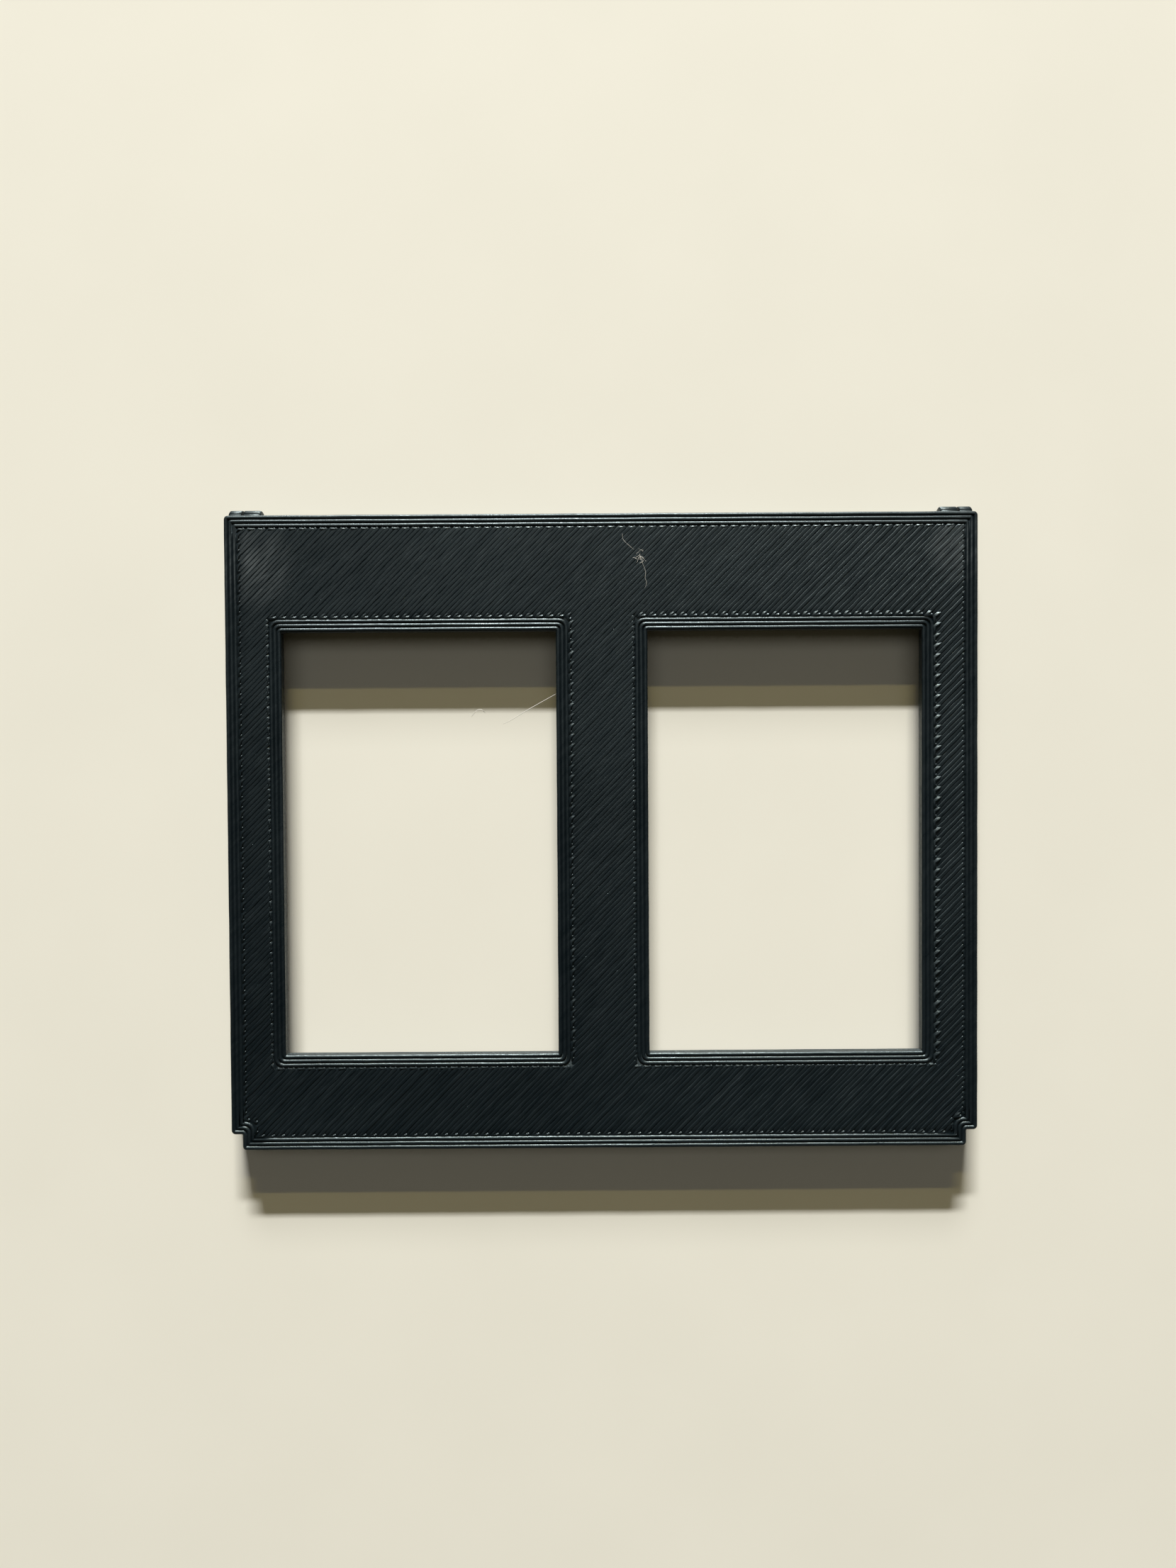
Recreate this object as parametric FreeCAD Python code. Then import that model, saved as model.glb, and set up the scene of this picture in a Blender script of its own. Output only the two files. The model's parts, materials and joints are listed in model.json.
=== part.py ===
import FreeCAD, Part
import os

# A negative carrier for two strips of 35 mm film, side by side, millimetres.
# It lies shut on its rear face: +X right, +Y towards the hinge, +Z out of the front face.
# The origin is the centre of the rear face.

# Plate outline, shared by both leaves
PLATE_WIDTH = 74.0
PLATE_HEIGHT = 62.7
REAR_THICKNESS = 2.2
FRONT_THICKNESS = 1.2
CORNER_RADIUS = 0.4

# Notches in the two bottom corners
FRONT_NOTCH = (1.1, 1.6)
REAR_NOTCH = (1.3, 1.8)

# Film gates
FILM_PITCH = 36.0
WINDOW_WIDTH = 27.0
WINDOW_HEIGHT = 41.8
TOP_BAR = 11.45
WINDOW_CORNER_RADIUS = 0.3
REAR_WINDOW_MARGIN = 0.25
GATE_LAND = 0.4

# Film channels in the rear leaf
CHANNEL_WIDTH = 35.2
CHANNEL_DEPTH = 0.2

# Hinge along the top edge
AXIS_Y = PLATE_HEIGHT / 2
AXIS_Z = 0.95
BARREL_RADIUS = 0.9
BARREL_CHAMFER = 0.25
KNUCKLE_INNER_X = 33.75
KNUCKLE_OUTER_X = 35.5
HINGE_GAP = 0.15
PIN_RADIUS = 0.4
PRESS_INTERFERENCE = 0.01
RUNNING_CLEARANCE = 0.05
PIN_INNER_X = 34.0
PIN_OUTER_X = 36.95
PIN_END_CHAMFER = 0.08

# Derived places
HALF_WIDTH = PLATE_WIDTH / 2
HALF_HEIGHT = PLATE_HEIGHT / 2
WINDOW_TOP = HALF_HEIGHT - TOP_BAR
WINDOW_CENTRE_Y = WINDOW_TOP - WINDOW_HEIGHT / 2
TOTAL_THICKNESS = REAR_THICKNESS + FRONT_THICKNESS
BED_Z = REAR_THICKNESS - CHANNEL_DEPTH
LUG_INNER_X = KNUCKLE_OUTER_X + HINGE_GAP
PAST = 1.0
SAME_PLACE = 1e-6
SIDES = {"left": -1, "right": 1}


def block(x0, x1, y0, y1, z0, z1):
    """A box between two corners."""
    corner = FreeCAD.Vector(min(x0, x1), min(y0, y1), min(z0, z1))
    return Part.makeBox(abs(x1 - x0), abs(y1 - y0), abs(z1 - z0), corner)


def round_upright_edges(shape, radius):
    """Fillets every edge that runs along Z."""
    upright = []
    for edge in shape.Edges:
        start, end = edge.Vertexes[0].Point, edge.Vertexes[-1].Point
        if abs(start.z - end.z) > radius and (start.x, start.y) == (end.x, end.y):
            upright.append(edge)
    return shape.makeFillet(radius, upright)


def outline_plate(z0, z1, notch):
    """The plate's outline as a slab, with a notch in each bottom corner."""
    slab = block(-HALF_WIDTH, HALF_WIDTH, -HALF_HEIGHT, HALF_HEIGHT, z0, z1)
    notch_width, notch_height = notch
    for side in SIDES.values():
        outer = side * (HALF_WIDTH + PAST)
        inner = side * (HALF_WIDTH - notch_width)
        top = -HALF_HEIGHT + notch_height
        slab = slab.cut(block(inner, outer, -HALF_HEIGHT - PAST, top, z0 - PAST, z1 + PAST))
    return round_upright_edges(slab, CORNER_RADIUS)


def gate(side, z0, z1, margin=0.0):
    """A straight-walled window, wider than the front gate by the margin on each side."""
    centre = side * FILM_PITCH / 2
    half_width = WINDOW_WIDTH / 2 + margin
    half_height = WINDOW_HEIGHT / 2 + margin
    hole = block(centre - half_width, centre + half_width,
                 WINDOW_CENTRE_Y - half_height, WINDOW_CENTRE_Y + half_height, z0, z1)
    return round_upright_edges(hole, WINDOW_CORNER_RADIUS)


def ring(centre_x, half_width, half_height, z):
    """The four corners of a rectangle round a window's centre at height z."""
    corners = []
    for along_x, along_y in ((-1, -1), (1, -1), (1, 1), (-1, 1)):
        x = centre_x + along_x * half_width
        y = WINDOW_CENTRE_Y + along_y * half_height
        corners.append(FreeCAD.Vector(x, y, z))
    return corners


def flat_face(corners):
    """The plane face inside a closed polygon."""
    return Part.Face(Part.makePolygon(corners + corners[:1]))


def gate_flare(side):
    """The 45 degree flare from a rear window's land out to the rear face."""
    centre = side * FILM_PITCH / 2
    top_z = BED_Z - GATE_LAND
    rings = []
    for z in (top_z, -PAST):
        spread = REAR_WINDOW_MARGIN + top_z - z
        rings.append(ring(centre, WINDOW_WIDTH / 2 + spread, WINDOW_HEIGHT / 2 + spread, z))
    top, bottom = rings
    faces = [flat_face(top), flat_face(bottom)]
    for i in range(len(top)):
        j = (i + 1) % len(top)
        faces.append(flat_face([top[i], top[j], bottom[j], bottom[i]]))
    return Part.makeSolid(Part.makeShell(faces))


def along_x(side, x0, x1, radius):
    """A round bar on the hinge axis, between two distances from the middle."""
    start = FreeCAD.Vector(side * x0, AXIS_Y, AXIS_Z)
    return Part.makeCylinder(radius, x1 - x0, start, FreeCAD.Vector(side, 0, 0))


def chamfer_end(bar, x, size):
    """Chamfers the round edge of a bar's end that lies at x."""
    ends = []
    for edge in bar.Edges:
        box = edge.BoundBox
        if max(abs(box.XMin - x), abs(box.XMax - x)) < SAME_PLACE:
            ends.append(edge)
    return bar.makeChamfer(size, ends)


def film_channel(side):
    """One film channel, open at the top and bottom edges of the rear leaf."""
    centre = side * FILM_PITCH / 2
    return block(centre - CHANNEL_WIDTH / 2, centre + CHANNEL_WIDTH / 2,
                 -HALF_HEIGHT - PAST, HALF_HEIGHT + PAST, BED_Z, REAR_THICKNESS + PAST)


def lug_clearance(side):
    """The room in the rear leaf's corner for the front leaf's lug."""
    return block(side * KNUCKLE_OUTER_X, side * (HALF_WIDTH + PAST),
                 AXIS_Y - BARREL_RADIUS - HINGE_GAP, HALF_HEIGHT + PAST, -PAST, REAR_THICKNESS + PAST)


def rear_leaf():
    """The leaf that rests in the enlarger: gates, film channels and the inner hinge knuckles."""
    leaf = outline_plate(0.0, REAR_THICKNESS, REAR_NOTCH)
    for side in SIDES.values():
        leaf = leaf.cut(film_channel(side))
        leaf = leaf.cut(gate(side, BED_Z - GATE_LAND - PAST, REAR_THICKNESS + PAST, REAR_WINDOW_MARGIN))
        leaf = leaf.cut(gate_flare(side))
        leaf = leaf.cut(lug_clearance(side))
    for side in SIDES.values():
        knuckle = along_x(side, KNUCKLE_INNER_X, KNUCKLE_OUTER_X, BARREL_RADIUS)
        leaf = leaf.fuse(chamfer_end(knuckle, side * KNUCKLE_INNER_X, BARREL_CHAMFER))
        hole = along_x(side, PIN_INNER_X, KNUCKLE_OUTER_X + PAST, PIN_RADIUS - PRESS_INTERFERENCE)
        leaf = leaf.cut(hole)
    return leaf.removeSplitter()


def hinge_lug(side, outline):
    """A lug under the front leaf's top corner that reaches down round the hinge axis."""
    barrel = along_x(side, LUG_INNER_X, HALF_WIDTH, BARREL_RADIUS)
    barrel = chamfer_end(barrel, side * HALF_WIDTH, BARREL_CHAMFER)
    web = block(side * LUG_INNER_X, side * HALF_WIDTH,
                AXIS_Y - BARREL_RADIUS, HALF_HEIGHT, AXIS_Z, REAR_THICKNESS)
    return barrel.fuse(web.common(outline))


def front_leaf():
    """The leaf that closes on the film: two gates and the outer hinge lugs."""
    leaf = outline_plate(REAR_THICKNESS, TOTAL_THICKNESS, FRONT_NOTCH)
    outline = outline_plate(0.0, TOTAL_THICKNESS, FRONT_NOTCH)
    for side in SIDES.values():
        leaf = leaf.cut(gate(side, REAR_THICKNESS - PAST, TOTAL_THICKNESS + PAST))
        leaf = leaf.fuse(hinge_lug(side, outline))
        hole = along_x(side, LUG_INNER_X - PAST, HALF_WIDTH + PAST, PIN_RADIUS + RUNNING_CLEARANCE)
        leaf = leaf.cut(hole)
    return leaf.removeSplitter()


def hinge_pin(side):
    """A short wire pin, pressed into the knuckle and running in the lug."""
    pin = along_x(side, PIN_INNER_X, PIN_OUTER_X, PIN_RADIUS)
    for x in (PIN_INNER_X, PIN_OUTER_X):
        pin = chamfer_end(pin, side * x, PIN_END_CHAMFER)
    return pin


def write(name, shape):
    """Saves one sub-part, which must be one sound solid."""
    if not shape.isValid() or len(shape.Solids) != 1:
        raise ValueError(f"{name}: valid {shape.isValid()}, {len(shape.Solids)} solids")
    solid = shape.Solids[0]
    solid.exportStep(f"parts/{name}.step")
    print(name, "volume", round(solid.Volume, 2), "mm3")


def main():
    os.makedirs("parts", exist_ok=True)
    write("rear_leaf", rear_leaf())
    write("front_leaf", front_leaf())
    for name, side in SIDES.items():
        write(f"hinge_pin_{name}", hinge_pin(side))


main()
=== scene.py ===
import json
import math
import random

import bpy
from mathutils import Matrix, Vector
from mathutils.geometry import tessellate_polygon


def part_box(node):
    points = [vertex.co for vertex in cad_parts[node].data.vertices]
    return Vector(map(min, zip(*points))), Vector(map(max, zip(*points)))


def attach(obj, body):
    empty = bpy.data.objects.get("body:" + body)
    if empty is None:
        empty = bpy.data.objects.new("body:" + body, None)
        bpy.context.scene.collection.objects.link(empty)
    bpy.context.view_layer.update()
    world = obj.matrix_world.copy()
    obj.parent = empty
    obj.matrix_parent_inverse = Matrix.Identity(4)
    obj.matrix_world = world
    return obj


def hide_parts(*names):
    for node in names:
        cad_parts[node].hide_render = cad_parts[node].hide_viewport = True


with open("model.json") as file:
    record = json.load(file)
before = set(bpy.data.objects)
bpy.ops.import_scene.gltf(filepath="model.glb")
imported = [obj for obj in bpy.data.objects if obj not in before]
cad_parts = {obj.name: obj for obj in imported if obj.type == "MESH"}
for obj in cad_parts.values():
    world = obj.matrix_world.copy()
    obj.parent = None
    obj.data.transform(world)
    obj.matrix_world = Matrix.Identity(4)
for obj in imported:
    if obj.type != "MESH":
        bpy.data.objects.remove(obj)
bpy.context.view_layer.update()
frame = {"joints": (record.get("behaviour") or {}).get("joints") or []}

# The looks of a printed film carrier: lines of plastic over its two leaves, and its hinge pins.
# Lengths are in millimetres and turned into metres when a mesh is made.
MM = 0.001

# The leaves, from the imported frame
REAR_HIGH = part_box("rear_leaf")[1] / MM
FRONT_LOW, FRONT_HIGH = (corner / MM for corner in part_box("front_leaf"))
HALF_WIDTH = FRONT_HIGH.x
HALF_HEIGHT = -FRONT_LOW.y
FACE_Z = FRONT_HIGH.z
SPLIT_Z = REAR_HIGH.z
HINGE = Vector(frame["joints"][0]["pos_m"]) / MM

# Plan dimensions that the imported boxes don't give
FRONT_NOTCH = (1.1, 1.6)
REAR_NOTCH = (1.3, 1.8)
CORNER_RADIUS = 0.4
FILM_PITCH = 36.0
WINDOW_HALF = (13.5, 20.9)
TOP_BAR = 11.45
WINDOW_CENTRE_Y = HALF_HEIGHT - TOP_BAR - WINDOW_HALF[1]
WINDOW_RADIUS = 0.3
REAR_WINDOW_MARGIN = 0.25
CHANNEL_DEPTH = 0.2
CHANNEL_INNER_X = 0.4
CHANNEL_OUTER_X = 35.6
BED_Z = SPLIT_Z - CHANNEL_DEPTH
LAND = 0.4
BARREL_RADIUS = 0.9
BARREL_END_RADIUS = 0.25
BARREL_GAP_RADIUS = 0.06
KNUCKLE_INNER_X = 33.75
KNUCKLE_OUTER_X = 35.5
LUG_INNER_X = 35.65
HINGE_GAP = 0.15
PIN_HOLE_RADIUS = 0.45

# How the plastic was laid down, and how finely its lines are divided
LAYER = 0.2
PERIMETERS = 3
PERIMETER_PITCH = 0.41
INFILL_PITCH = 0.357
FIRST_LAYER_PITCH = 0.45
INFILL_SETBACK = 0.15
INFILL_INSET = PERIMETERS * PERIMETER_PITCH + INFILL_SETBACK
OUTLINE_DROP = 0.012
INFILL_DROP = 0.03
LAYER_BULGE = 0.035
BACK_LIFT = 0.02
LOOP_STEP = 1.6
LINE_STEP = 0.6
HIDDEN_LINE_STEP = 2.0
WALL_RUNS = 6
LOW_END_SINK = 0.07
EMBED = 0.15
BEAD_BASE = 0.125
WALL_START = 0.04

# How outlines and beads are rounded
SMALLEST_ARC = 0.1
INSIDE_ARC_GROWTH = 0.6
END_ROUNDING = 0.4

# The rear leaf's film beds and the rails beside them
BED_LOOP_DROP = 0.005
BED_INFILL_DROP = 0.015
BED_PAIR_DROP = 0.01
RAIL_ROOT = 0.1
RAIL_WALL_DROP = 0.03
RAIL_RADIUS = 0.15
RAIL_LINE_PITCH = 0.45
RAIL_LINE_INSET = 0.2
RAIL_LINE_DROP = 0.005
RAIL_LINE_WOBBLE = 0.004

# The hinge barrels' layers
BARREL_BOTTOM = 0.05
BARREL_WIDEST_ARC = 0.45
SMALLEST_HOLE = 0.05
LUG_WEB_RISE = 0.06

# How uneven the lines are, with the seeds of the random draws
FRONT_SEED = 11
REAR_SEED = 23
STRING_SEED = 37
WAVE_COUNT = 3
WAVE_SUM = 1.7
UPWARD_WOBBLE = 0.5
SMALLEST_MITRE = 0.7
LAYER_SWELL = 0.012
LOOP_WAVES = (3.0, 11.0)
LOOP_WOBBLE = 0.008
FLAT_LOOP_WOBBLE = 0.004
INFILL_WAVES = (1.2, 4.0)
INFILL_WOBBLE = 0.013
INFILL_SHIFT = 0.010
INFILL_UNEVEN = 0.005
INFILL_OVERLAP = 1.06
LAYER_ROUNDING = 0.22

# Every other infill line lies lower: least drop, how much more at the right edge, and the bottom's share
PAIR_DROP = 0.006
PAIR_DROP_GAIN = 0.028
PAIR_BOTTOM_SHARE = 0.6

# An open bead's rounded end: distance out in widths, share of the width, drop
END_SECTIONS = ((0.22, 0.78, 0.012), (0.36, 0.35, 0.045))

# The blob where a loop starts and stops
SEAM_WIDTH = 0.9 * PERIMETER_PITCH
SEAM_LIFT = (0.01, 0.03)

# Turns of the infill: lift, how far the crest and the tail reach, width in pitches
TURN_END_GAP = 2.2
TURN_START = 0.06
TURN_RISE = (0.4, 0.8, 1.0, 0.8)
TURN_TAIL_LIFT = -0.045
LOW_TURN_LIFT = (0.045, 0.080)
LOW_TURN_CREST = 0.26
LOW_TURN_TAIL = (0.65, 0.85)
LOW_TURN_WIDTH = 1.3
HIGH_TURN_LIFT = (0.0, 0.045)
HIGH_TURN_CREST = 0.05
HIGH_TURN_TAIL = 0.32
HIGH_TURN_WIDTH = 1.05
BOTTOM_TURN_SHARE = 0.2
LEFT_TURN_SHARE = 0.5

# Beside the right window the low turns are higher and longer, overlap the loops and lean sideways
RIGHT_TURN_GAIN = 1.25
RIGHT_TURN_MORE_CREST = 0.2
RIGHT_TURN_MORE_TAIL = 0.15
RIGHT_TURN_LEAN = 0.25
RIGHT_TURN_OVERLAP = 0.12

# A bead's section: distance across in half widths, depth below its crown
TOP_PROFILE = ((-1.04, EMBED), (-0.97, 0.093), (-0.92, 0.082), (-0.72, 0.046), (-0.50, 0.019),
               (-0.42, 0.010), (-0.26, 0.0), (0.26, 0.0), (0.42, 0.010),
               (0.50, 0.019), (0.72, 0.046), (0.92, 0.082), (0.97, 0.093), (1.04, EMBED))
INFILL_PROFILE = ((-1.04, EMBED), (-0.97, 0.023), (-0.70, 0.005), (-0.45, 0.0),
                  (0.45, 0.0), (0.70, 0.005), (0.97, 0.023), (1.04, EMBED))
TURN_PROFILE = ((-1.04, EMBED), (-0.97, 0.118), (-0.88, 0.106), (-0.16, 0.010), (0.0, 0.0),
                (0.16, 0.010), (0.88, 0.106), (0.97, 0.118), (1.04, EMBED))
PLAIN_PROFILE = ((-1.0, EMBED), (-0.95, 0.04), (-0.5, 0.0), (0.5, 0.0), (0.95, 0.04), (1.0, EMBED))
FIRST_LAYER_PROFILE = ((-1.0, 0.05), (-0.86, 0.0), (0.86, 0.0), (1.0, 0.05))

SIDES = {"left": -1, "right": 1}

# Strings of plastic. Those in the gate are placed from the left window's right wall, at half its height.
GATE_STRING_RADIUS = 0.032
GATE_STRINGS = (
    ((0.05, 13.75, 0.1), (-1.2, 13.05, 0.15), (-3.0, 12.05, 0.1), (-4.4, 11.2, 0.0), (-5.3, 10.75, -0.1)),
    ((-7.0, 11.85, 0.0), (-7.4, 12.2, 0.1), (-7.9, 12.1, 0.1), (-8.4, 11.5, 0.0)))
FACE_STRING_RADIUS = 0.015
FACE_STRINGS = (
    ((2.1, 29.3), (2.15, 28.8), (2.6, 28.3), (3.3, 27.7)),
    ((4.0, 26.6), (4.35, 25.6), (4.3, 25.0), (4.45, 24.5), (4.25, 23.9)))
STRING_CLEARANCE = 0.05
STRING_TIP_SHARE = 0.3
TUFT_CENTRE = (3.75, 27.2)
TUFT_SPREAD = (0.24, 0.32)
TUFT_HEIGHT = 0.12
TUFT_STRANDS = 12
TUFT_STEPS = 4
TUFT_STEP = (0.1, 0.2)
TUFT_BEND = 0.7
TUFT_RISE = 0.03
TUFT_RADIUS = (0.011, 0.020)

# Patches of painted sheen on the front face: (centre, radius). The grey painted on the bead tops there
# stands in for a reflection.
PAINTED_SHEEN_PATCHES = (((-HALF_WIDTH + 2.8, HALF_HEIGHT - 5.0), 4.6), ((HALF_WIDTH - 1.5, HALF_HEIGHT - 3.6), 3.8))

# Hinge pins
PIN_SEGMENTS = 40
PIN_SHEAR = 0.03
PIN_TIP_SHARE = 0.02
# Rings from each end of a pin: (distance in, share of the radius, share of the sheared slant)
PIN_STATIONS = ((0.0, 0.0, 1.0), (0.0, 0.7, 1.0), (0.035, 0.93, 0.6), (0.09, 1.0, 0.0))

# Colours, linear. TONES are (darker, lighter) pairs.
PLASTIC_TONES = ((0.0022, 0.0050, 0.0074), (0.0044, 0.0080, 0.0108))
# Painted sheen: the grey painted on the bead tops near the top corners, in place of a reflection
PAINTED_SHEEN_GREY = (0.075, 0.086, 0.092)
PLASTIC_TINT = (0.78, 0.95, 1.0, 1.0)
STRING_TONES = ((0.50, 0.50, 0.47), (0.72, 0.70, 0.64))
STEEL_TONES = ((0.42, 0.42, 0.43), (0.66, 0.65, 0.63))
FLOOR_TONES = ((0.78, 0.765, 0.685), (0.83, 0.815, 0.735))

# Surface finish. A scale is in marks per millimetre, and a RANGE is the part of a noise that is used.
COARSE_NOISE = (3.0, 0.5)
FINE_NOISE = (4.0, 0.6)
TONE_SCALE = 0.09
TONE_RANGE = (0.35, 0.65)
GRAIN_SCALE = 9.0
# The part of the streak noise that breaks up the painted sheen, and the share of the sheen it keeps
SHEEN_MARK_RANGE = (0.40, 0.62)
SHEEN_MARK_SHARE = (0.40, 1.0)
POLISH_RANGE = (0.34, 0.66)
FLAT_TOP_FACING = (0.96, 0.998)
PLASTIC_ROUGHNESS = (0.26, 0.50)
PLASTIC_IOR = 1.57
GRAIN_DEPTH = 0.02
GRAIN_STRENGTH = 0.8
STREAK_LENGTH = 2.4
STREAK_WIDTH = 0.40
GRAIN_SHARE = 0.4
STRING_TONE_SCALE = 1.5
STRING_ROUGHNESS = 0.45
STEEL_ROUGHNESS = (0.22, 0.42)
DRAWN_LINES = (0.35, 14.0, 14.0)
DRAWN_DEPTH = 0.01
DRAWN_STRENGTH = 0.4
DRAWN_NOISE = (4.0, 0.5)
DRAWN_RANGE = (0.3, 0.7)
FLOOR_TONE_SCALE = 0.05
FLOOR_ROUGHNESS = 0.8

# The studio, in metres, degrees and watts
FLOOR_HALF = 1.5
LAMP_DISTANCE = 3.0
WARM_WHITE = (1.0, 0.99, 0.965)
# Lamps: tilt from +Z towards +Y, turn about Z, size, power, colour
LAMPS = {
    "key": (66.7, 2.0, (0.75, 0.09), 153.0, WARM_WHITE),
    "low_fill": (70.5, 1.5, (0.9, 0.36), 40.0, WARM_WHITE),
    "second": (58.5, 0.0, (0.7, 0.06), 13.0, (1.0, 0.82, 0.30)),
    "ceiling": (17.0, 0.0, (3.2, 1.35), 7.8, (1.0, 0.98, 0.92))}
ROOM_COLOUR = (1.0, 0.86, 0.52, 1.0)
ROOM_STRENGTH = 0.035
CAMERA_LENS = 27.67
CAMERA_CLIP = 0.005
CAMERA_PLACE = (-1.62, 7.49, 122.1)
CAMERA_TURN = (-1.30, -0.10, -0.37)


class Builder:
    """Collects the vertices and faces of one piece, in millimetres."""

    def __init__(self):
        self.vertices = []
        self.faces = []

    def ring(self, points):
        """Adds points and gives their numbers."""
        first = len(self.vertices)
        self.vertices.extend(points)
        return list(range(first, len(self.vertices)))

    def bridge(self, lower, upper, closed=True, flip=False):
        """Quads between two rings of the same length."""
        count = len(lower)
        for i in range(count if closed else count - 1):
            j = (i + 1) % count
            face = (lower[i], lower[j], upper[j], upper[i])
            self.faces.append(face[::-1] if flip else face)

    def polygon(self, ring, flip=False):
        """One face over a ring."""
        self.faces.append(tuple(ring[::-1] if flip else ring))

    def cap(self, rings, facing):
        """A flat face over an outline with holes, facing up (1) or down (-1)."""
        loops = [[Vector(self.vertices[i]) for i in ring] for ring in rings]
        flat = [i for ring in rings for i in ring]
        for triangle in tessellate_polygon(loops):
            a, b, c = (flat[i] for i in triangle)
            pa, pb, pc = (Vector(self.vertices[i]) for i in (a, b, c))
            upward = (pb - pa).cross(pc - pa).z
            self.faces.append((a, b, c) if upward * facing > 0 else (a, c, b))

    def piece(self, name, body, slot, material, node=None):
        """Makes the Blender object, riding on its body and standing for a CAD node."""
        mesh = bpy.data.meshes.new(name)
        mesh.from_pydata([Vector(v) * MM for v in self.vertices], [], self.faces)
        mesh.polygons.foreach_set("use_smooth", [True] * len(mesh.polygons))
        mesh.materials.append(material)
        mesh.update()
        thing = bpy.data.objects.new(name, mesh)
        bpy.context.scene.collection.objects.link(thing)
        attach(thing, body)
        if node:
            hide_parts(node)
        return thing


# Outlines

def outline(notch, lug_cut=False):
    """A leaf's corners, anticlockwise, with notches at the bottom and room for the lugs at the top."""
    notch_width, notch_height = notch
    right = [(HALF_WIDTH - notch_width, -HALF_HEIGHT),
             (HALF_WIDTH - notch_width, -HALF_HEIGHT + notch_height),
             (HALF_WIDTH, -HALF_HEIGHT + notch_height)]
    if lug_cut:
        cut_y = HINGE.y - BARREL_RADIUS - HINGE_GAP
        right += [(HALF_WIDTH, cut_y), (KNUCKLE_OUTER_X, cut_y), (KNUCKLE_OUTER_X, HALF_HEIGHT)]
    else:
        right.append((HALF_WIDTH, HALF_HEIGHT))
    return right + [(-x, y) for x, y in reversed(right)]


def box_corners(x0, x1, y0, y1):
    """A rectangle's corners, anticlockwise."""
    return [(x0, y0), (x1, y0), (x1, y1), (x0, y1)]


def window(side, margin=0.0):
    """A window's corners, clockwise because it is a hole."""
    x, y = side * FILM_PITCH / 2, WINDOW_CENTRE_Y
    half_x, half_y = WINDOW_HALF[0] + margin, WINDOW_HALF[1] + margin
    return box_corners(x - half_x, x + half_x, y - half_y, y + half_y)[::-1]


def windows(margin=0.0):
    """Both windows, each wider by a margin all round."""
    return [window(side, margin) for side in SIDES.values()]


def inset(corners, distance):
    """Moves every edge of a square-cornered outline into the material."""
    moved = []
    for i, corner in enumerate(corners):
        here = Vector(corner)
        before = (here - Vector(corners[i - 1])).normalized()
        after = (Vector(corners[(i + 1) % len(corners)]) - here).normalized()
        moved.append(here + distance * (before + after).orthogonal())
    return moved


def corner_reach(before, after, distance, radius):
    """How far from a corner its arc starts: small outside corners, and wider arcs round inside ones."""
    if before.cross(after) > 0:
        return max(radius - distance, SMALLEST_ARC)
    return (1 - INSIDE_ARC_GROWTH) * radius + INSIDE_ARC_GROWTH * distance


def rounded(corners, distance, radii, arc_steps=4, runs=None):
    """The outline moved into the material, with arcs at its corners and its straight stretches divided."""
    points = []
    moved = inset(corners, distance)
    count = len(moved)
    edges = [(moved[(i + 1) % count] - moved[i]).normalized() for i in range(count)]
    if isinstance(radii, float):
        radii = [radii] * count
    reaches = [corner_reach(edges[i - 1], edges[i], distance, radii[i]) for i in range(count)]
    for i, corner in enumerate(moved):
        before, after, reach = edges[i - 1], edges[i], reaches[i]
        centre = corner + reach * (after - before)
        for k in range(arc_steps + 1):
            angle = math.radians(90) * k / arc_steps
            points.append(centre + reach * (before * math.sin(angle) - after * math.cos(angle)))
        start = corner + reach * after
        end = moved[(i + 1) % count] - reaches[(i + 1) % count] * after
        divisions = runs or max(1, round((end - start).length / LOOP_STEP))
        points.extend(start.lerp(end, k / divisions) for k in range(1, divisions))
    return points


# Walls built up in layers

def layered_walls(builder, layers, rng):
    """Walls of bulging layers. Each layer is (bottom z, top z, [(corners, corner radius), ...])."""
    below = None
    for bottom, top, loops in layers:
        height = top - bottom
        swell = rng.uniform(-LAYER_SWELL, LAYER_SWELL)
        levels = ((bottom, LAYER_BULGE), (bottom + LAYER_ROUNDING * height, swell),
                  (top - LAYER_ROUNDING * height, swell), (top, LAYER_BULGE))
        for z, depth in levels:
            rings = []
            for corners, radius in loops:
                points = rounded(corners, depth, radius, runs=WALL_RUNS)
                rings.append(builder.ring([(p.x, p.y, z) for p in points]))
            if below is None:
                builder.cap(rings, -1)
            else:
                for lower, upper in zip(below, rings):
                    builder.bridge(lower, upper)
            below = rings
    builder.cap(below, 1)


def split_layers(bottom, top, height=LAYER):
    """The (bottom, top) of each layer in a height."""
    count = max(1, round((top - bottom) / height))
    step = (top - bottom) / count
    return [(bottom + i * step, bottom + (i + 1) * step) for i in range(count)]


# Beads

def wander(rng, size, shortest, longest):
    """A smooth random function of distance along a bead."""
    waves = [(rng.uniform(shortest, longest), rng.uniform(0, math.tau)) for _ in range(WAVE_COUNT)]

    def value(distance):
        total = sum(math.sin(math.tau * distance / length + phase) for length, phase in waves)
        return size * total / WAVE_SUM
    return value


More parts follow.
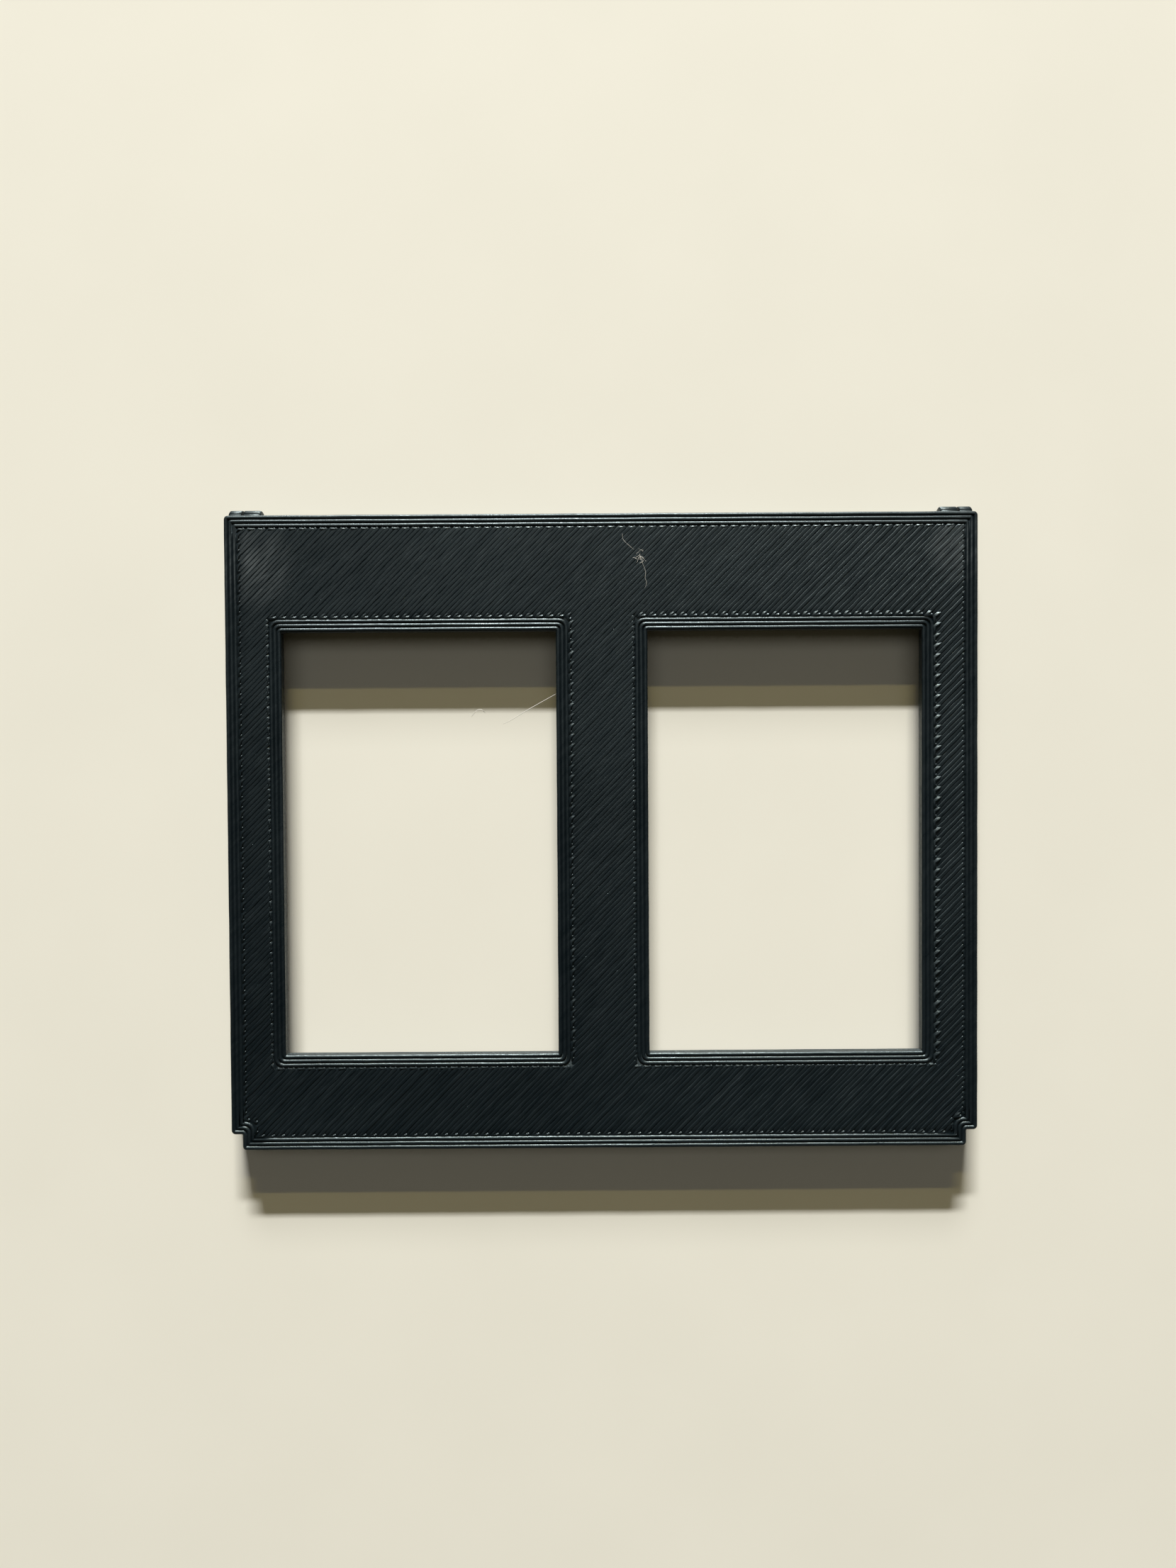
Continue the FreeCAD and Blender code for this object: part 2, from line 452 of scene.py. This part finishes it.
def bead(builder, path, closed, width, top, profile, facing=1, rng=None, wobble=0.0, lifts=None,
         waves=LOOP_WAVES):
    """Sweeps a bead's section along a flat path and closes its ends. lifts raises it at each point."""
    path = [Vector(p) for p in path]
    lifts = lifts or [0.0] * len(path)
    if not closed:
        path, lifts = with_end_points(path, lifts, width)
    count = len(path)
    sideways = wander(rng, wobble, *waves) if wobble else None
    upward = wander(rng, wobble * UPWARD_WOBBLE, *waves) if wobble else None
    rings = []
    travelled = 0.0

    def section(place, along, across_scale, height, mitre=1.0, lateral=0.0):
        across = Vector((-along.y, along.x))
        points = []
        for reach, depth in profile:
            flat = place + across * (lateral + reach * width / 2 * across_scale * mitre)
            points.append((flat.x, flat.y, top + facing * (height - depth)))
        return builder.ring(points)

    def end_sections(place, outward, along, height):
        return [section(place + outward * width * out, along, share, height - drop)
                for out, share, drop in END_SECTIONS]

    for i, here in enumerate(path):
        ahead = path[(i + 1) % count] - here if closed or i < count - 1 else here - path[i - 1]
        behind = here - path[i - 1] if closed or i > 0 else ahead
        travelled += behind.length if i else 0.0
        along = (ahead.normalized() + behind.normalized()).normalized()
        mitre = 1 / max(SMALLEST_MITRE, along.dot(ahead.normalized()))
        lateral = sideways(travelled) if sideways else 0.0
        height = lifts[i] + (upward(travelled) if upward else 0.0)
        if not closed and i == 0:
            rings.extend(reversed(end_sections(here, -along, along, height)))
        rings.append(section(here, along, 1.0, height, mitre, lateral))
        if not closed and i == count - 1:
            rings.extend(end_sections(here, along, along, height))
    flip = facing > 0
    pairs = list(zip(rings, rings[1:]))
    if closed:
        pairs.append((rings[-1], rings[0]))
    for first, second in pairs:
        builder.bridge(first, second, flip=flip)
    if not closed:
        builder.polygon(rings[0], flip=not flip)
        builder.polygon(rings[-1], flip=flip)


def with_end_points(path, lifts, width):
    """Adds a point just inside each end of an open path, so that the rounding there stays local."""
    for _ in range(2):
        first, second = path[0], path[1]
        share = min(0.5, END_ROUNDING * width / (second - first).length)
        path = [first, first.lerp(second, share), *path[1:]]
        lifts = [lifts[0], lifts[0] + share * (lifts[1] - lifts[0]), *lifts[1:]]
        path, lifts = path[::-1], lifts[::-1]
    return path, lifts


def perimeter_beads(builder, loops, top, profile, facing, rng, wobble=LOOP_WOBBLE, seams=False):
    """Loops of bead that follow an outline and its holes. Seams adds a blob where each starts and stops."""
    for corners, radius in loops:
        for k in range(PERIMETERS):
            distance = (k + 0.5) * PERIMETER_PITCH
            path = rounded(corners, distance, radius)
            bead(builder, path, True, PERIMETER_PITCH, top, profile, facing, rng, wobble)
            if seams:
                blob = [path[1], path[3]]
                lifts = [rng.uniform(*SEAM_LIFT), rng.uniform(*SEAM_LIFT)]
                bead(builder, blob, False, SEAM_WIDTH, top, TURN_PROFILE, facing, rng, 0.0, lifts)


def crossings(polygons, along, across, offset):
    """Where a line meets the polygons, as intervals along it."""
    found = []
    for corners in polygons:
        for i, corner in enumerate(corners):
            start, end = Vector(corners[i - 1]), Vector(corner)
            low, high = start.dot(across) - offset, end.dot(across) - offset
            if low * high < 0:
                found.append(start.lerp(end, low / (low - high)).dot(along))
    found.sort()
    return list(zip(found[::2], found[1::2]))


def infill_rows(polygons, pitch, along):
    """The parallel lines that fill a region: [(offset, [interval, ...]), ...]."""
    across = Vector((-along.y, along.x))
    offsets = [Vector(p).dot(across) for p in polygons[0]]
    rows = []
    offset = min(offsets) + pitch / 2
    while offset < max(offsets):
        rows.append((offset, crossings(polygons, along, across, offset)))
        offset += pitch
    return rows


def infill_beads(builder, polygons, pitch, top, profile, facing, rng, slant, pairing, turns=None,
                 step=HIDDEN_LINE_STEP):
    """Zigzag infill at 45 degrees: long beads, joined at alternate ends by turns, if they have a builder."""
    along = Vector((1, slant)).normalized()
    across = Vector((-along.y, along.x))
    rows = infill_rows(polygons, pitch, along)
    for k, (offset, intervals) in enumerate(rows):
        shift = rng.gauss(0, INFILL_SHIFT)
        for low, high in intervals:
            if high - low < pitch:
                continue
            middle = along * (low + high) / 2 + across * offset
            drop = rng.gauss(0, INFILL_UNEVEN) + (pairing(middle) if k % 2 else 0.0)
            steps = max(1, round((high - low) / step))
            path = [along * (low + (high - low) * i / steps) + across * (offset + shift)
                    for i in range(steps + 1)]
            lifts = [-drop] * (steps + 1)
            if turns:
                lifts[0] -= LOW_END_SINK
            bead(builder, path, False, pitch * INFILL_OVERLAP, top, profile, facing, rng, INFILL_WOBBLE,
                 lifts, INFILL_WAVES)
        if turns is None or k + 1 == len(rows):
            continue
        end = 1 if k % 2 == 0 else 0
        inward = -along if end else along
        for interval in intervals:
            for following in rows[k + 1][1]:
                if abs(interval[end] - following[end]) < TURN_END_GAP * pitch:
                    start = along * interval[end] + across * offset
                    finish = along * following[end] + across * rows[k + 1][0]
                    turn(turns, start, finish, inward, end == 0, pitch, top, facing, rng)


def turn_share(place):
    """How much of its lift a turn keeps: little along the bottom edge and half along the left one."""
    if place.y < -HALF_HEIGHT + 2 * INFILL_INSET:
        return BOTTOM_TURN_SHARE
    return LEFT_TURN_SHARE if place.x < -HALF_WIDTH + 2 * INFILL_INSET else 1.0


def turn(builder, start, finish, inward, low_end, pitch, top, facing, rng):
    """A raised blob where the infill turns back, sinking away along the second line."""
    heading = inward
    if low_end:
        lift, crest, width = rng.uniform(*LOW_TURN_LIFT), LOW_TURN_CREST, pitch * LOW_TURN_WIDTH
        tail = rng.uniform(*LOW_TURN_TAIL)
        if start.x > FILM_PITCH / 2 + WINDOW_HALF[0]:
            lift *= RIGHT_TURN_GAIN
            crest += RIGHT_TURN_MORE_CREST
            tail += RIGHT_TURN_MORE_TAIL
            heading = (inward + RIGHT_TURN_LEAN * (start - finish).normalized()).normalized()
            start, finish = (place - inward * RIGHT_TURN_OVERLAP for place in (start, finish))
    else:
        lift, crest, width = rng.uniform(*HIGH_TURN_LIFT), HIGH_TURN_CREST, pitch * HIGH_TURN_WIDTH
        tail = HIGH_TURN_TAIL
    lift *= turn_share(start)
    path = [start + inward * TURN_START, start, finish, finish + heading * crest, finish + heading * tail]
    lifts = [lift * share for share in TURN_RISE] + [TURN_TAIL_LIFT]
    bead(builder, path, False, width, top, TURN_PROFILE, facing, rng, 0.0, lifts)


# The printed leaves

def top_pairing(place):
    """How much lower every other infill line lies: more towards the right and the bottom."""
    right = max(0.0, place.x / HALF_WIDTH)
    low = max(0.0, -place.y / HALF_HEIGHT)
    return PAIR_DROP + PAIR_DROP_GAIN * max(right, low * PAIR_BOTTOM_SHARE)


def front_leaf_pieces(material):
    """The front leaf: its walls and first layer, and the loops, infill and turns of its front face."""
    rng = random.Random(FRONT_SEED)
    loops = [(outline(FRONT_NOTCH), CORNER_RADIUS)] + [(w, WINDOW_RADIUS) for w in windows()]
    region = [inset(corners, INFILL_INSET) for corners, _ in loops]

    walls = Builder()
    layers = [(low, high, loops) for low, high in split_layers(SPLIT_Z + WALL_START, FACE_Z - BEAD_BASE)]
    layered_walls(walls, layers, rng)
    for side in SIDES.values():
        hinge_lug(walls, side, rng)
    perimeter_beads(walls, loops, SPLIT_Z, FIRST_LAYER_PROFILE, -1, rng, FLAT_LOOP_WOBBLE)
    infill_beads(walls, region, FIRST_LAYER_PITCH, SPLIT_Z, FIRST_LAYER_PROFILE, -1, rng, -1,
                 lambda place: 0.0)
    walls.piece("front_leaf_layers", "front", "front_leaf_plastic", material, "front_leaf")

    outlines = Builder()
    perimeter_beads(outlines, loops, FACE_Z - OUTLINE_DROP, TOP_PROFILE, 1, rng, seams=True)
    outlines.piece("front_leaf_outline_beads", "front", "front_leaf_plastic", material, "front_leaf")

    infill, turns = Builder(), Builder()
    infill_beads(infill, region, INFILL_PITCH, FACE_Z - INFILL_DROP, INFILL_PROFILE, 1, rng, 1,
                 top_pairing, turns, LINE_STEP)
    infill.piece("front_leaf_infill_beads", "front", "front_leaf_plastic", material, "front_leaf")
    turns.piece("front_leaf_infill_turns", "front", "front_leaf_plastic", material, "front_leaf")


def smooth_line(points, steps):
    """A smooth line through points, as a Catmull-Rom curve with steps to each span."""
    places = [Vector(p) for p in points]
    guides = [2 * places[0] - places[1], *places, 2 * places[-1] - places[-2]]
    line = []
    for i in range(len(places) - 1):
        before, start, end, after = guides[i:i + 4]
        linear = end - before
        square = 2 * before - 5 * start + 4 * end - after
        cube = 3 * start - before - 3 * end + after
        for k in range(steps):
            t = k / steps
            line.append(0.5 * (2 * start + linear * t + square * t ** 2 + cube * t ** 3))
    line.append(places[-1])
    return line


def strand(builder, points, radius, sides=5, steps=4):
    """A fine round string through points, smoothed and tapered to both ends."""
    line = smooth_line(points, steps)
    rings = []
    for i, here in enumerate(line):
        along = (line[min(i + 1, len(line) - 1)] - line[max(i - 1, 0)]).normalized()
        side = along.orthogonal().normalized()
        up = along.cross(side)
        share = i / (len(line) - 1)
        fullness = math.sin(math.pi * share) ** 0.5
        thickness = radius * (STRING_TIP_SHARE + (1 - STRING_TIP_SHARE) * fullness)
        angles = [math.tau * k / sides for k in range(sides)]
        around = [side * math.cos(a) + up * math.sin(a) for a in angles]
        rings.append(builder.ring([here + thickness * way for way in around]))
    for first, second in zip(rings, rings[1:]):
        builder.bridge(first, second)
    builder.polygon(rings[0], flip=True)
    builder.polygon(rings[-1])


def tuft_route(rng):
    """One curled strand of the tuft, never below the face."""
    centre = Vector((*TUFT_CENTRE, FACE_Z + STRING_CLEARANCE))
    scatter = (rng.gauss(0, TUFT_SPREAD[0]), rng.gauss(0, TUFT_SPREAD[1]), rng.uniform(0, TUFT_HEIGHT))
    place = centre + Vector(scatter)
    heading = rng.uniform(0, math.tau)
    route = [place]
    for _ in range(TUFT_STEPS):
        heading += rng.gauss(0, TUFT_BEND)
        step = rng.uniform(*TUFT_STEP)
        place = place + Vector((math.cos(heading) * step, math.sin(heading) * step, rng.gauss(0, TUFT_RISE)))
        place.z = max(place.z, FACE_Z)
        route.append(place)
    return route


def front_leaf_strings(material):
    """Fine pale strings of plastic: in the left gate, loose on the face, and a tuft near the hinge edge.
    Light passes through strings this thin, so they cast no shadow."""
    rng = random.Random(STRING_SEED)
    strings = Builder()
    gate_wall = WINDOW_HALF[0] - FILM_PITCH / 2
    middle = (SPLIT_Z + FACE_Z) / 2
    for route in GATE_STRINGS:
        strand(strings, [(gate_wall + x, y, middle + z) for x, y, z in route], GATE_STRING_RADIUS)
    for route in FACE_STRINGS:
        points = [(x, y, FACE_Z + rng.uniform(0.0, STRING_CLEARANCE)) for x, y in route]
        strand(strings, points, FACE_STRING_RADIUS)
    for _ in range(TUFT_STRANDS):
        route = tuft_route(rng)
        strand(strings, route, rng.uniform(*TUFT_RADIUS), steps=3)
    piece = strings.piece("front_leaf_strings", "front", "front_leaf_plastic", material)
    piece.visible_shadow = False


def rail_corners():
    """The rear leaf's raised strips beside the film: outer rails and the middle rib."""
    bottom = -HALF_HEIGHT
    strips = [box_corners(-CHANNEL_INNER_X, CHANNEL_INNER_X, bottom, HALF_HEIGHT)]
    cut_y = HINGE.y - BARREL_RADIUS - HINGE_GAP
    notch_top = -HALF_HEIGHT + REAR_NOTCH[1]
    for side in SIDES.values():
        x0, x1 = sorted((side * CHANNEL_OUTER_X, side * HALF_WIDTH))
        strips.append(box_corners(x0, x1, notch_top, cut_y))
    return strips


def rear_leaf_pieces(material):
    """The rear leaf: its flared walls and first layer, and the beads of its film beds and rails."""
    rng = random.Random(REAR_SEED)
    leaf = outline(REAR_NOTCH, lug_cut=True)
    bed_loops = [(leaf, CORNER_RADIUS)] + [(w, WINDOW_RADIUS) for w in windows(REAR_WINDOW_MARGIN)]

    walls = Builder()
    layers = []
    for low, high in split_layers(WALL_START, BED_Z - BEAD_BASE):
        flare = max(0.0, BED_Z - LAND - high)
        holes = [(w, WINDOW_RADIUS) for w in windows(REAR_WINDOW_MARGIN + flare)]
        layers.append((low, high, [(leaf, CORNER_RADIUS)] + holes))
    layered_walls(walls, layers, rng)
    for strip in rail_corners():
        rail = (BED_Z - RAIL_ROOT, SPLIT_Z - RAIL_WALL_DROP, [(strip, RAIL_RADIUS)])
        layered_walls(walls, [rail], rng)
    for side in SIDES.values():
        hinge_knuckle(walls, side, rng)
    rear_flare = layers[0][2]
    perimeter_beads(walls, rear_flare, BACK_LIFT, FIRST_LAYER_PROFILE, -1, rng, FLAT_LOOP_WOBBLE)
    rear_region = [inset(corners, INFILL_INSET) for corners, _ in rear_flare]
    infill_beads(walls, rear_region, FIRST_LAYER_PITCH, BACK_LIFT, FIRST_LAYER_PROFILE, -1, rng, 1,
                 lambda place: 0.0)
    walls.piece("rear_leaf_layers", "rear", "rear_leaf_plastic", material, "rear_leaf")

    bed = Builder()
    perimeter_beads(bed, bed_loops, BED_Z - BED_LOOP_DROP, PLAIN_PROFILE, 1, rng)
    bed_region = [inset(corners, INFILL_INSET) for corners, _ in bed_loops]
    infill_beads(bed, bed_region, INFILL_PITCH, BED_Z - BED_INFILL_DROP, PLAIN_PROFILE, 1, rng, -1,
                 lambda place: BED_PAIR_DROP, bed)
    for strip in rail_corners():
        x0, x1 = strip[0][0], strip[1][0]
        lines = max(2, round((x1 - x0) / RAIL_LINE_PITCH))
        pitch = (x1 - x0) / lines
        for k in range(lines):
            x = x0 + (k + 0.5) * pitch
            path = [(x, strip[0][1] + RAIL_LINE_INSET), (x, 0.0), (x, strip[2][1] - RAIL_LINE_INSET)]
            bead(bed, path, False, pitch, SPLIT_Z - RAIL_LINE_DROP, PLAIN_PROFILE, 1, rng, RAIL_LINE_WOBBLE)
    bed.piece("rear_leaf_bed_beads", "rear", "rear_leaf_plastic", material, "rear_leaf")


# Hinge barrels, printed flat in layers

def barrel_layer(builder, free_x, gap_x, y0, y1, low, high, rng):
    """One layer, with rounded corners at its free end and nearly square ones beside the gap."""
    widest = (y1 - y0) * BARREL_WIDEST_ARC
    free, gap = min(BARREL_END_RADIUS, widest), min(BARREL_GAP_RADIUS, widest)
    corners = box_corners(min(free_x, gap_x), max(free_x, gap_x), y0, y1)
    radii = [free, gap, gap, free] if free_x < gap_x else [gap, free, free, gap]
    layered_walls(builder, [(low, high, [(corners, radii)])], rng)


def barrel(builder, side, free_x, gap_x, back_y, hole_radius, top_z, rng):
    """A round barrel as a stack of layers, open round the pin, with a web behind it up to top_z."""
    for low, high in split_layers(BARREL_BOTTOM, top_z):
        middle = (low + high) / 2 - HINGE.z
        reach = math.sqrt(max(0.0, BARREL_RADIUS ** 2 - middle ** 2))
        front = HINGE.y + reach if abs(middle) < BARREL_RADIUS else HALF_HEIGHT
        back = min(back_y, HINGE.y - reach) if middle < 0 else back_y
        hole = math.sqrt(max(0.0, hole_radius ** 2 - middle ** 2))
        if hole > SMALLEST_HOLE:
            barrel_layer(builder, side * free_x, side * gap_x, back, HINGE.y - hole, low, high, rng)
            barrel_layer(builder, side * free_x, side * gap_x, HINGE.y + hole, front, low, high, rng)
        else:
            barrel_layer(builder, side * free_x, side * gap_x, back, front, low, high, rng)


def hinge_lug(builder, side, rng):
    """The front leaf's part of a hinge, open round the pin."""
    barrel(builder, side, HALF_WIDTH, LUG_INNER_X, HINGE.y - BARREL_RADIUS, PIN_HOLE_RADIUS,
           SPLIT_Z + LUG_WEB_RISE, rng)


def hinge_knuckle(builder, side, rng):
    """The rear leaf's part of a hinge. It has no hole, because the pin fills it."""
    barrel(builder, side, KNUCKLE_INNER_X, KNUCKLE_OUTER_X, HINGE.y - BARREL_RADIUS, 0.0,
           HINGE.z + BARREL_RADIUS, rng)


# Hinge pins

def hinge_pin(side_name, material):
    """A cut length of wire with a rounded edge and a slightly sheared face at each end."""
    node = f"hinge_pin_{side_name}"
    low, high = (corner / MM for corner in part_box(node))
    radius = (high.z - low.z) / 2
    ends = [(low.x + inward, share, cut) for inward, share, cut in PIN_STATIONS]
    ends += [(high.x - inward, share, -cut) for inward, share, cut in reversed(PIN_STATIONS)]
    wire = Builder()
    rings = []
    for x, share, cut in ends:
        points = []
        reach = radius * max(share, PIN_TIP_SHARE)
        for k in range(PIN_SEGMENTS):
            angle = math.tau * k / PIN_SEGMENTS
            z = reach * math.sin(angle)
            y = reach * math.cos(angle)
            points.append((x + PIN_SHEAR * cut * (1 + z / radius) / 2, HINGE.y + y, HINGE.z + z))
        rings.append(wire.ring(points))
    for first, second in zip(rings, rings[1:]):
        wire.bridge(first, second, flip=True)
    wire.polygon(rings[0])
    wire.polygon(rings[-1], flip=True)
    wire.piece(f"{node}_wire", "rear", "pin_steel", material, node)


# Materials

def node_material(name):
    """A new material, with its node tree and shader."""
    material = bpy.data.materials.new(name)
    material.use_nodes = True
    tree = material.node_tree
    return material, tree, tree.nodes["Principled BSDF"]


def coordinates(tree):
    """Object coordinates in millimetres."""
    place = tree.nodes.new("ShaderNodeTexCoord")
    scale = tree.nodes.new("ShaderNodeVectorMath")
    scale.operation = "SCALE"
    scale.inputs["Scale"].default_value = 1 / MM
    tree.links.new(place.outputs["Object"], scale.inputs[0])
    return scale.outputs[0]


def noise(tree, vector, scale, fineness=COARSE_NOISE):
    """Smooth noise from about 0 to 1. Fineness is its detail and its roughness."""
    texture = tree.nodes.new("ShaderNodeTexNoise")
    texture.inputs["Scale"].default_value = scale
    texture.inputs["Detail"].default_value, texture.inputs["Roughness"].default_value = fineness
    tree.links.new(vector, texture.inputs["Vector"])
    return texture.outputs["Fac"]


def remap(tree, value, low, high, to_low, to_high):
    """Stretches one range of values onto another and clamps what lies outside."""
    node = tree.nodes.new("ShaderNodeMapRange")
    node.inputs["From Min"].default_value = low
    node.inputs["From Max"].default_value = high
    node.inputs["To Min"].default_value = to_low
    node.inputs["To Max"].default_value = to_high
    tree.links.new(value, node.inputs["Value"])
    return node.outputs["Result"]


def mix_colour(tree, factor, first, second):
    """From the first colour at 0 to the second at 1. Each is a colour or a socket."""
    node = tree.nodes.new("ShaderNodeMix")
    node.data_type = "RGBA"
    tree.links.new(factor, node.inputs["Factor"])
    for socket, colour in ((node.inputs[6], first), (node.inputs[7], second)):
        if isinstance(colour, tuple):
            socket.default_value = (*colour, 1.0)
        else:
            tree.links.new(colour, socket)
    return node.outputs[2]


def combine(tree, operation, first, second):
    """A sum or product of two numbers or sockets, clamped to 0 to 1."""
    node = tree.nodes.new("ShaderNodeMath")
    node.operation = operation
    node.use_clamp = True
    for socket, value in zip(node.inputs, (first, second)):
        if isinstance(value, (int, float)):
            socket.default_value = value
        else:
            tree.links.new(value, socket)
    return node.outputs[0]


def bump(tree, height, distance, strength):
    """Fine relief from a height of 0 to 1. Distance is in millimetres."""
    node = tree.nodes.new("ShaderNodeBump")
    node.inputs["Distance"].default_value = distance * MM
    node.inputs["Strength"].default_value = strength
    tree.links.new(height, node.inputs["Height"])
    return node.outputs["Normal"]


def along_infill(tree, vector, length, width):
    """Coordinates turned to the infill's direction, for marks of a given length and width in millimetres."""
    turned = tree.nodes.new("ShaderNodeMapping")
    turned.vector_type = "TEXTURE"
    turned.inputs["Rotation"].default_value = (0.0, 0.0, math.radians(45))
    turned.inputs["Scale"].default_value = (length, width, 1.0)
    tree.links.new(vector, turned.inputs["Vector"])
    return turned.outputs["Vector"]


def near_point(tree, vector, point, radius):
    """1 at a point, falling to 0 at a radius."""
    gap = tree.nodes.new("ShaderNodeVectorMath")
    gap.operation = "DISTANCE"
    gap.inputs[1].default_value = point
    tree.links.new(vector, gap.inputs[0])
    return remap(tree, gap.outputs["Value"], 0.0, radius, 1.0, 0.0)


def flat_tops(tree):
    """1 where the surface faces along Z in the object's own frame, 0 on the beads' shoulders."""
    place = tree.nodes.new("ShaderNodeTexCoord")
    parts = tree.nodes.new("ShaderNodeSeparateXYZ")
    tree.links.new(place.outputs["Normal"], parts.inputs[0])
    return remap(tree, parts.outputs["Z"], *FLAT_TOP_FACING, 0.0, 1.0)


def printed_plastic():
    """Blue-black printed plastic: uneven tone, fine grain, and a painted sheen: grey on the bead tops at the
    top corners, in place of a reflection.
    """
    material, tree, shader = node_material("printed_plastic")
    place = coordinates(tree)
    tone = remap(tree, noise(tree, place, TONE_SCALE), *TONE_RANGE, 0.0, 1.0)
    grain = noise(tree, place, GRAIN_SCALE, FINE_NOISE)
    turned = along_infill(tree, place, STREAK_LENGTH, STREAK_WIDTH)
    streaks = noise(tree, turned, 1.0, FINE_NOISE)
    marks = remap(tree, streaks, *SHEEN_MARK_RANGE, *SHEEN_MARK_SHARE)
    # Where the painted sheen lies: patches near the top corners, broken up by the streaks
    sheen_patches = None
    for point, radius in PAINTED_SHEEN_PATCHES:
        mask = near_point(tree, place, (*point, FACE_Z), radius)
        sheen_patches = mask if sheen_patches is None else combine(tree, "ADD", sheen_patches, mask)
    # Painted sheen: grey only on the flat bead tops in those patches, standing in for a reflection
    painted_sheen = combine(tree, "MULTIPLY", combine(tree, "MULTIPLY", sheen_patches, marks), flat_tops(tree))
    base = mix_colour(tree, tone, *PLASTIC_TONES)
    colour = mix_colour(tree, painted_sheen, base, PAINTED_SHEEN_GREY)
    tree.links.new(colour, shader.inputs["Base Color"])
    fine = combine(tree, "MULTIPLY", grain, GRAIN_SHARE)
    coarse = combine(tree, "MULTIPLY", streaks, 1 - GRAIN_SHARE)
    polish = combine(tree, "ADD", fine, coarse)
    tree.links.new(remap(tree, polish, *POLISH_RANGE, *PLASTIC_ROUGHNESS), shader.inputs["Roughness"])
    tree.links.new(bump(tree, grain, GRAIN_DEPTH, GRAIN_STRENGTH), shader.inputs["Normal"])
    shader.inputs["IOR"].default_value = PLASTIC_IOR
    shader.inputs["Specular Tint"].default_value = PLASTIC_TINT
    return material


def pale_strings():
    """The same plastic drawn out so thin that it looks pale."""
    material, tree, shader = node_material("pale_strings")
    tone = noise(tree, coordinates(tree), STRING_TONE_SCALE)
    tree.links.new(mix_colour(tree, tone, *STRING_TONES), shader.inputs["Base Color"])
    shader.inputs["Roughness"].default_value = STRING_ROUGHNESS
    return material


def wire_steel():
    """Drawn wire: bright, with fine lines along its length."""
    material, tree, shader = node_material("wire_steel")
    stretch = tree.nodes.new("ShaderNodeVectorMath")
    stretch.operation = "MULTIPLY"
    stretch.inputs[1].default_value = DRAWN_LINES
    tree.links.new(coordinates(tree), stretch.inputs[0])
    drawn = noise(tree, stretch.outputs[0], 1.0, DRAWN_NOISE)
    tree.links.new(mix_colour(tree, drawn, *STEEL_TONES), shader.inputs["Base Color"])
    tree.links.new(remap(tree, drawn, *DRAWN_RANGE, *STEEL_ROUGHNESS), shader.inputs["Roughness"])
    tree.links.new(bump(tree, drawn, DRAWN_DEPTH, DRAWN_STRENGTH), shader.inputs["Normal"])
    shader.inputs["Metallic"].default_value = 1.0
    return material


def pale_floor():
    """A plain pale floor with a faint change of tone."""
    material, tree, shader = node_material("pale_floor")
    tone = noise(tree, coordinates(tree), FLOOR_TONE_SCALE)
    tree.links.new(mix_colour(tree, tone, *FLOOR_TONES), shader.inputs["Base Color"])
    shader.inputs["Roughness"].default_value = FLOOR_ROUGHNESS
    return material


# Floor, light and camera

def make_floor():
    """The plain surface that the carrier lies on."""
    mesh = bpy.data.meshes.new("floor")
    corners = box_corners(-FLOOR_HALF, FLOOR_HALF, -FLOOR_HALF, FLOOR_HALF)
    mesh.from_pydata([(x, y, 0.0) for x, y in corners], [], [(0, 1, 2, 3)])
    mesh.materials.append(pale_floor())
    floor = bpy.data.objects.new("floor", mesh)
    bpy.context.scene.collection.objects.link(floor)


def area_light(name, place, size, power, colour):
    """A rectangular lamp that points at the origin."""
    data = bpy.data.lights.new(name, "AREA")
    data.shape = "RECTANGLE"
    data.size, data.size_y = size
    data.energy = power
    data.color = colour
    lamp = bpy.data.objects.new(name, data)
    lamp.location = place
    lamp.rotation_euler = (-Vector(place)).to_track_quat("-Z", "Y").to_euler()
    bpy.context.scene.collection.objects.link(lamp)


def polar(distance, tilt, turn):
    """A place at a distance, tilted from +Z towards +Y and then turned about Z, in degrees."""
    tilt, turn = math.radians(tilt), math.radians(turn)
    flat = distance * math.sin(tilt)
    return (-flat * math.sin(turn), flat * math.cos(turn), distance * math.cos(tilt))


def make_lights():
    """A low lamp beyond the hinge edge with a soft one under it and a faint one over it, and a dim room."""
    for name, (tilt, turn, size, power, colour) in LAMPS.items():
        area_light(name, polar(LAMP_DISTANCE, tilt, turn), size, power, colour)
    world = bpy.data.worlds.new("studio")
    world.use_nodes = True
    background = world.node_tree.nodes["Background"]
    background.inputs["Color"].default_value = ROOM_COLOUR
    background.inputs["Strength"].default_value = ROOM_STRENGTH
    bpy.context.scene.world = world


def make_camera():
    """Looks down at the front face from close by, a little above the middle, with a slight tilt and roll."""
    data = bpy.data.cameras.new("camera")
    data.lens = CAMERA_LENS
    data.clip_start = CAMERA_CLIP
    camera = bpy.data.objects.new("camera", data)
    camera.location = Vector(CAMERA_PLACE) * MM
    camera.rotation_euler = [math.radians(turn) for turn in CAMERA_TURN]
    bpy.context.scene.collection.objects.link(camera)
    bpy.context.scene.camera = camera


def main():
    """Camera, floor and lights, then every piece."""
    bpy.context.scene.view_settings.view_transform = "Standard"
    make_camera()
    make_floor()
    make_lights()
    plastic = printed_plastic()
    steel = wire_steel()
    front_leaf_pieces(plastic)
    front_leaf_strings(pale_strings())
    rear_leaf_pieces(plastic)
    for name in SIDES:
        hinge_pin(name, steel)


main()
